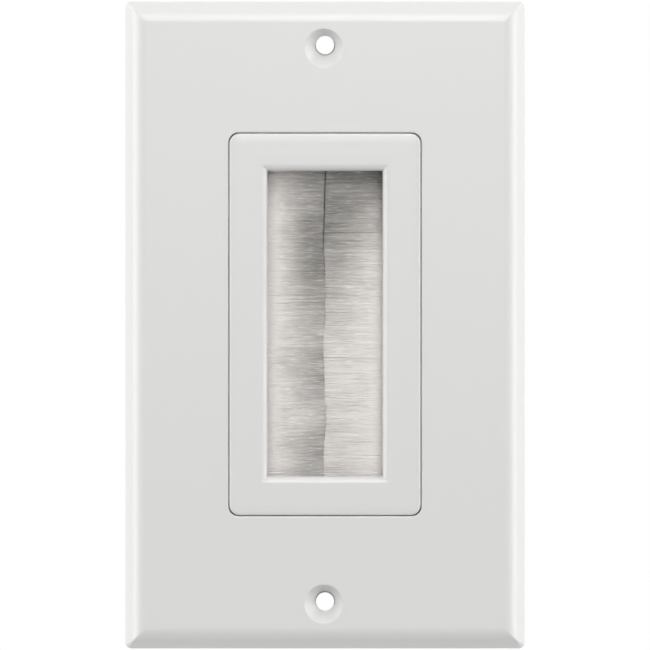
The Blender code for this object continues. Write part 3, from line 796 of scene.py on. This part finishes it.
zinc = drawn_steel("bright_zinc_plate", "#C9C9C4", 0.28)
for level, k in (("lower", -1), ("upper", 1)):
    for name, i in (("left", -1), ("right", 1)):
        x = i * post_x
        z = insert_rise + k * post_z
        outline = [
            (shank_radius * point_shares[0], shank_tip),
            (shank_radius * point_shares[1], shank_tip + point_length),
            (shank_radius, shank_tip + point_length + point_step),
            (shank_radius, head_seat),
            (head_radius - head_rim, head_seat),
            (head_radius, head_seat + head_rim),
        ]
        for inset, behind in quarter_round(head_edge):
            outline.append((head_radius - inset, head_seat + head_height - head_crown - behind))
        outline.append((head_flat, head_seat + head_height))
        screw_bm = bmesh.new()
        turn(screw_bm, outline, x, z, sides=36)
        screw = as_object(f"{level}_{name}_screw", screw_bm)
        for across in (0, 1):
            arm = bmesh.new()
            half = (recess_reach, recess_half_width)
            arm_rows = []
            for wide, rise in ((recess_flare, recess_above), (1.0, 0.0), (recess_taper, -recess_depth)):
                y = head_seat + head_height + rise
                arm_rows.append((half[across] * wide, half[1 - across] * wide, recess_corner, y, z))
            sweep(arm, arm_rows)
            bmesh.ops.translate(arm, verts=arm.verts, vec=(x, 0.0, 0.0))
            combine(screw, arm, "DIFFERENCE")
        finish_piece(screw, zinc, f"{level}_{name}_retainer_screw")

# Wall plate: the cover that frames the insert and hides the edge of the wall's cutout.
# White ABS, injection moulded and glossy, with a bevelled edge and two countersunk holes. Its screws
# go into the insert's ears.
plate_low, plate_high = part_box("wall_plate")
plate_front = plate_low.y
plate_half_width = (plate_high.x - plate_low.x) / 2
plate_half_height = (plate_high.z - plate_low.z) / 2
plate_corner = 1.15 * mm
corner_share = 0.75  # how much of the inset a corner's radius loses
sharpest_corner = 0.25 * mm
edge_height = 3.0 * mm
edge_draft = 0.08 * mm
edge_round = 0.2 * mm
slope_start = 0.1 * mm
slope_width = 1.5 * mm
slope_bulge = 0.10 * mm
shoulder_width = 2.2 * mm
shoulder_rise = 0.9 * mm
plate_inside = plate_front + 2.2 * mm
rim_width = 1.9 * mm
rim_share = 0.8  # the rim's height inside, as a share of the edge's
inside_share = 0.6  # how far the inside follows the slope
opening_half_width = insert_half_width + 0.12 * mm
opening_half_height = insert_half_height + 0.125 * mm
opening_corner = insert_corner - 0.1 * mm
opening_edge = 0.25 * mm
opening_wall = 1.3 * mm
opening_wall_back = -1.9 * mm
screw_place = 48.42 * mm
screw_shift = -0.2 * mm  # both countersinks sit a little to the left
screw_drop = 0.19 * mm  # and a little low
hole_lift = 0.48 * mm  # how far each hole sits above the middle of its countersink
countersink_radius = 3.48 * mm
countersink_depth = 1.6 * mm
countersink_lip = 0.35 * mm
countersink_flare = 0.2 * mm
plate_hole_radius = 1.75 * mm
boss_radius = 4.5 * mm
rib_depth = 1.4 * mm
rib_half_width = 0.55 * mm
side_rib_pitch = 22 * mm
end_rib_place = 8.5 * mm


def plate_row(inset, y):
    """A row of the plate's outline, this far in from its edge."""
    radius = max(plate_corner - inset * corner_share, sharpest_corner)
    return (plate_half_width - inset, plate_half_height - inset, radius, y, 0.0)


def opening_row(grow, y):
    """A row of the opening's outline, this far out from its edge."""
    middle = insert_rise - insert_drop
    return (opening_half_width + grow, opening_half_height + grow, opening_corner + grow, y, middle)


section = [
    plate_row(fine_edge, 0.0),
    plate_row(0.0, -fine_edge),
    plate_row(edge_draft, -edge_height + edge_round),
]
for step in range(7):
    share = step / 6
    bulge = slope_bulge * math.sin(math.pi * share)
    y = -edge_height + (plate_front + shoulder_rise + edge_height) * share - bulge
    section.append(plate_row(slope_start + slope_width * share, y))
for step in range(1, 11):
    share = step / 10
    inset = slope_start + slope_width + shoulder_width * share
    section.append(plate_row(inset, plate_front + shoulder_rise * (1 - share) ** 2))
for grow, behind in reversed(quarter_round(opening_edge, 4)):
    section.append(opening_row(grow, plate_front + behind))
inner_inset = rim_width + inside_share * (slope_start + slope_width + shoulder_width)
section += [
    opening_row(0.0, opening_wall_back),
    opening_row(opening_wall, opening_wall_back),
    opening_row(opening_wall, plate_inside),
    plate_row(inner_inset, plate_inside),
    plate_row(rim_width, -edge_height * rim_share),
    plate_row(rim_width, 0.0),
    section[0],
]
plate_bm = bmesh.new()
sweep(plate_bm, section, around=True)
wall_plate = as_object("moulded_plate", plate_bm)

bosses = bmesh.new()
for end in (-1, 1):
    boss = [(boss_radius, plate_inside - past), (boss_radius, opening_wall_back)]
    turn(bosses, boss, screw_shift, end * screw_place)
combine(wall_plate, bosses, "UNION")

ribs = bmesh.new()
rib_starts = (opening_half_width + opening_wall / 2, opening_half_height + opening_wall / 2)
rib_ends = (plate_half_width - rim_width, plate_half_height - rim_width)
for i in (-1, 1):
    for k in (-1, 0, 1):
        low = Vector((rib_starts[0], plate_inside - past, k * side_rib_pitch - rib_half_width))
        high = Vector((rib_ends[0], plate_inside + rib_depth, k * side_rib_pitch + rib_half_width))
        middle = (low + high) / 2
        add_block(ribs, (i * middle.x, middle.y, insert_rise + middle.z), high - low)
    for x in (-end_rib_place, end_rib_place):
        start = insert_rise + i * rib_starts[1]
        end = i * rib_ends[1]
        middle = (x, plate_inside + (rib_depth - past) / 2, (start + end) / 2)
        add_block(ribs, middle, (2 * rib_half_width, rib_depth + past, abs(end - start)))
combine(wall_plate, ribs, "UNION")

sinks = bmesh.new()
for end in (-1, 1):
    sink = [(countersink_radius + countersink_flare, plate_front - past)]
    for step in range(7):
        share = step / 6
        radius = countersink_radius - countersink_lip * share
        sink.append((radius, plate_front + countersink_lip * share**2))
    sink.append((plate_hole_radius, plate_front + countersink_depth))
    sink.append((plate_hole_radius, past))
    turn(sinks, sink, screw_shift, end * screw_place - screw_drop)
for vert in sinks.verts:  # the holes lean off the middle of their countersinks
    depth_share = min(max((vert.co.y - plate_front) / countersink_depth, 0.0), 1.0)
    vert.co += Vector((-screw_shift, 0.0, hole_lift)) * depth_share
combine(wall_plate, sinks, "DIFFERENCE")
gloss_abs = moulded_abs("gloss_white_abs", "#DDDDDC", "#D8D7D4", 0.28, 0.08)
finish_piece(wall_plate, gloss_abs, "wall_plate")

# Studio: the plate stands clear of a pale floor, in a plain white room. Two large softboxes light its
# sides, one is above, a narrow one in front reaches into the window, and one is behind. The camera looks
# straight at the plate from two metres, as in the photograph.


def paint_stage(material, shade, glow):
    """One strength for camera, mirror and see-through rays, and another for the light that is cast."""
    nodes = material.node_tree.nodes
    path = nodes.new("ShaderNodeLightPath")
    links = material.node_tree.links
    seen = path.outputs["Is Camera Ray"]
    for other in ("Is Glossy Ray", "Is Transmission Ray"):
        either = nodes.new("ShaderNodeMath")
        either.operation = "MAXIMUM"
        links.new(seen, either.inputs[0])
        links.new(path.outputs[other], either.inputs[1])
        seen = either.outputs[0]
    strength = nodes.new("ShaderNodeMapRange")
    links.new(seen, strength.inputs[0])
    strength.inputs[3].default_value = shade
    strength.inputs[4].default_value = glow
    return strength.outputs[0]


world = bpy.data.worlds.new("white_room")
bpy.context.scene.world = world
world.use_nodes = True
sky = world.node_tree.nodes["Background"]
sky.inputs["Color"].default_value = colour("#FFFFFF")
world.node_tree.links.new(paint_stage(world, 0.30, 1.0), sky.inputs["Strength"])

floor_half_width = 0.9
floor_level = -0.40
floor_bm = bmesh.new()
bmesh.ops.create_grid(floor_bm, x_segments=1, y_segments=1, size=floor_half_width)
bmesh.ops.translate(floor_bm, verts=floor_bm.verts, vec=(0, 0, floor_level))
floor = as_object("floor", floor_bm)
floor_paint, floor_shader = new_material("pale_floor", "#C8C8C6", 0.8)
floor_shader.inputs["Emission Color"].default_value = colour("#FFFFFF")
floor_paint.node_tree.links.new(
    paint_stage(floor_paint, 0.0, 0.40), floor_shader.inputs["Emission Strength"]
)
floor.data.materials.append(floor_paint)


def softbox(name, place, width, height, power):
    """A rectangular lamp, in metres and watts, that faces the plate."""
    lamp = bpy.data.lights.new(name, "AREA")
    lamp.shape = "RECTANGLE"
    lamp.size = width
    lamp.size_y = height
    lamp.energy = power
    item = bpy.data.objects.new(name, lamp)
    aim = (-Vector(place)).to_track_quat("-Z", "Y").to_matrix().to_4x4()
    item.matrix_world = Matrix.Translation(place) @ aim
    item.visible_camera = False
    bpy.context.scene.collection.objects.link(item)


softbox("left_softbox", (-1.00, -0.20, 0.17), 0.8, 1.2, 8.1)
softbox("right_softbox", (1.00, -0.20, 0.17), 0.8, 1.2, 8.1)
softbox("top_softbox", (0.0, -0.15, 0.55), 0.8, 0.5, 0.85)
softbox("front_softbox", (0.02, -0.68, 0.42), 0.12, 0.7, 2.2)
softbox("back_softbox", (0.0, 0.12, 0.0), 1.6, 1.6, 1.5)

frame_width = 113.23 * mm  # across the photograph, at the plate's front
camera_distance = 2.0
camera = bpy.data.cameras.new("camera")
camera.sensor_width = 36.0
camera.lens = camera.sensor_width * camera_distance / frame_width
camera_item = bpy.data.objects.new("camera", camera)
camera_item.location = (0.0, plate_front - camera_distance, 0.0)
camera_item.rotation_euler = (math.pi / 2, 0.0, 0.0)
bpy.context.scene.collection.objects.link(camera_item)
bpy.context.scene.camera = camera_item
bpy.context.scene.view_settings.view_transform = "Standard"
